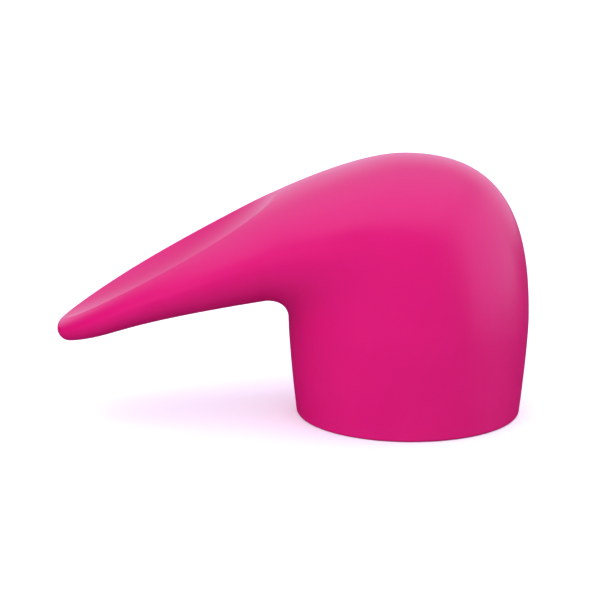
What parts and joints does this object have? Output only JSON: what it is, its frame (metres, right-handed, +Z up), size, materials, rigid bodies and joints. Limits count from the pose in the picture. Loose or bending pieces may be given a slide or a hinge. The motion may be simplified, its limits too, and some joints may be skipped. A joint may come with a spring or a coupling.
{
  "type": "massager attachment cap",
  "caption": "Soft slip-on cap with a domed socket and a bendable scooped tongue, for the round head of a handheld massager.",
  "frame": {"origin": "centre of the socket's mouth, on the plane of the mouth's rim that the cap stands on", "axes": "+Z up the socket towards the dome, -X towards the tongue's nose, XZ is the plane of symmetry"},
  "size_m": [0.1292, 0.0658, 0.0719],
  "materials": {
    "soft_silicone": "satin moulded silicone, magenta",
    "firm_silicone": "matte moulded silicone, deeper magenta",
    "spine_plastic": "natural moulded polypropylene"
  },
  "bodies": {
    "cap": {"cap_skin": "soft_silicone", "flex_neck": "soft_silicone", "socket_liner": "firm_silicone", "spine_root": "spine_plastic", "spine_web": "spine_plastic"},
    "tongue": {"tongue_skin": "soft_silicone", "spine_blade": "spine_plastic"}
  },
  "joints": [
    {"name": "tongue_flex", "type": "hinge", "parent": "cap", "child": "tongue", "pos_m": [-0.0525, 0, 0.0385], "axis": [0, 1, 0], "range_deg": [-22, 22], "stiffness_Nm_per_rad": 0.12, "deforming": ["flex_neck", "spine_web"]}
  ]
}
